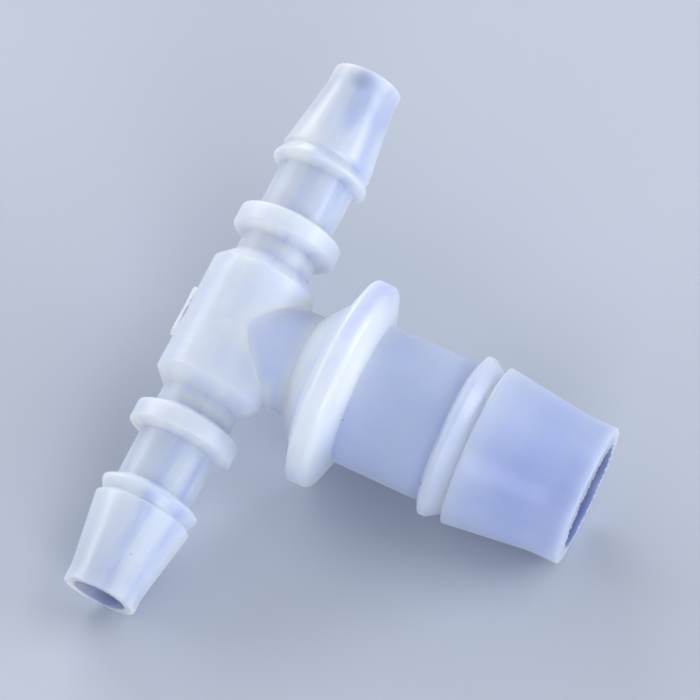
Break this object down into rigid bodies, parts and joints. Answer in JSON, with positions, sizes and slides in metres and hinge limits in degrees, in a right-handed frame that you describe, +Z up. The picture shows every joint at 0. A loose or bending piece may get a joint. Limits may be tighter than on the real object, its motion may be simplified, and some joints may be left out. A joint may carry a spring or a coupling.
{
  "type": "hose tee connector",
  "caption": "Barbed hose tee: a straight run with a small barb at each end and a larger barbed branch behind a wide flange, moulded as one piece.",
  "frame": {"origin": "where the axis of the run crosses the axis of the branch", "axes": "+Z up as the tee lies at rest; the branch points along +Y and slopes down 8 degrees; the lower arm of the run points along +X and slopes down 17 degrees"},
  "size_m": [0.0472, 0.0361, 0.0199],
  "materials": {
    "milky_plastic": "satin, milky and slightly translucent"
  },
  "bodies": {
    "root": {"tee_body": "milky_plastic"}
  },
  "joints": []
}
